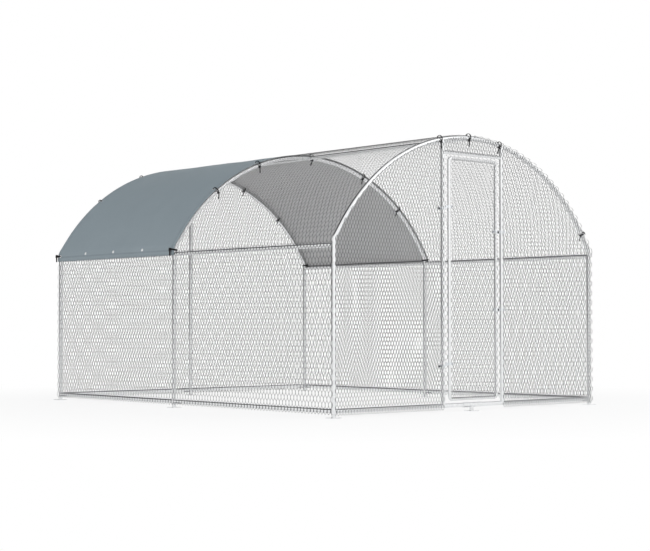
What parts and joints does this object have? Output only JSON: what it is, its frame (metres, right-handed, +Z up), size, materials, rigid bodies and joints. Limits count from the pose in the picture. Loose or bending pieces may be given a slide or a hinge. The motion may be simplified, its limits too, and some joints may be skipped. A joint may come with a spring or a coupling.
{
  "type": "walk-in chicken coop run",
  "caption": "Walk-in dome-roofed chicken run of galvanised hoops and hexagonal netting, with a grey cover over the rear bay and a hinged wire door.",
  "frame": {"origin": "on the floor, under the middle of the run", "axes": "+Z up, +Y from the door gable to the rear gable, +X to the right as seen facing the door"},
  "size_m": [2.875, 3.6105, 2.0743],
  "materials": {
    "galvanised_tube": "galvanised, satin",
    "netting": "galvanised wire",
    "zinc_fittings": "zinc plated",
    "cover_fabric": "coated woven sheet",
    "tie_plastic": "satin black",
    "dark_bolts": "black oxide"
  },
  "bodies": {
    "frame": {"cable_ties": "tie_plastic", "cover": "cover_fabric", "cover_eyelets": "zinc_fittings", "door_header": "galvanised_tube", "frame_clamp_bolts": "dark_bolts", "front_centre_foot": "galvanised_tube", "front_left_eave_rail": "galvanised_tube", "front_left_gable_rail": "galvanised_tube", "front_left_ground_rail": "galvanised_tube", "front_left_net": "netting", "front_left_post": "galvanised_tube", "front_left_roof_arc": "galvanised_tube", "front_ridge_connector": "galvanised_tube", "front_ridge_tube": "galvanised_tube", "front_right_eave_rail": "galvanised_tube", "front_right_gable_rail": "galvanised_tube", "front_right_ground_rail": "galvanised_tube", "front_right_net": "netting", "front_right_post": "galvanised_tube", "front_right_roof_arc": "galvanised_tube", "hinge_post_straps": "zinc_fittings", "hinge_side_door_post": "galvanised_tube", "latch_post_straps": "zinc_fittings", "latch_side_door_post": "galvanised_tube", "left_wall_net": "netting", "mid_left_post": "galvanised_tube", "mid_left_roof_arc": "galvanised_tube", "mid_ridge_connector": "galvanised_tube", "mid_right_post": "galvanised_tube", "mid_right_roof_arc": "galvanised_tube", "over_door_net": "netting", "rear_centre_foot": "galvanised_tube", "rear_centre_post": "galvanised_tube", "rear_gable_net": "netting", "rear_left_eave_rail": "galvanised_tube", "rear_left_gable_rail": "galvanised_tube", "rear_left_ground_rail": "galvanised_tube", "rear_left_post": "galvanised_tube", "rear_left_roof_arc": "galvanised_tube", "rear_ridge_connector": "galvanised_tube", "rear_ridge_tube": "galvanised_tube", "rear_right_eave_rail": "galvanised_tube", "rear_right_gable_rail": "galvanised_tube", "rear_right_ground_rail": "galvanised_tube", "rear_right_post": "galvanised_tube", "rear_right_roof_arc": "galvanised_tube", "right_wall_net": "netting", "roof_nets": "netting", "side_feet": "galvanised_tube"},
    "door": {"hinge_stile": "galvanised_tube", "latch_stile": "galvanised_tube", "door_top_rail": "galvanised_tube", "door_bottom_rail": "galvanised_tube", "door_elbows": "galvanised_tube", "door_net": "netting", "hinge_door_straps": "zinc_fittings", "latch_rings": "zinc_fittings", "door_clamp_bolts": "zinc_fittings"},
    "upper_latch_hook": {"upper_latch_hook": "zinc_fittings"},
    "lower_latch_hook": {"lower_latch_hook": "zinc_fittings"}
  },
  "joints": [
    {"name": "door_hinge", "type": "hinge", "parent": "frame", "child": "door", "pos_m": [-0.2675, -1.7475, 0.9], "axis": [0, 0, -1], "range_deg": [0, 115]},
    {"name": "upper_latch", "type": "hinge", "parent": "frame", "child": "upper_latch_hook", "pos_m": [0.339, -1.7725, 1.345], "axis": [0, 0, -1], "range_deg": [0, 180]},
    {"name": "lower_latch", "type": "hinge", "parent": "frame", "child": "lower_latch_hook", "pos_m": [0.339, -1.7725, 0.754], "axis": [0, 0, -1], "range_deg": [0, 180]}
  ]
}
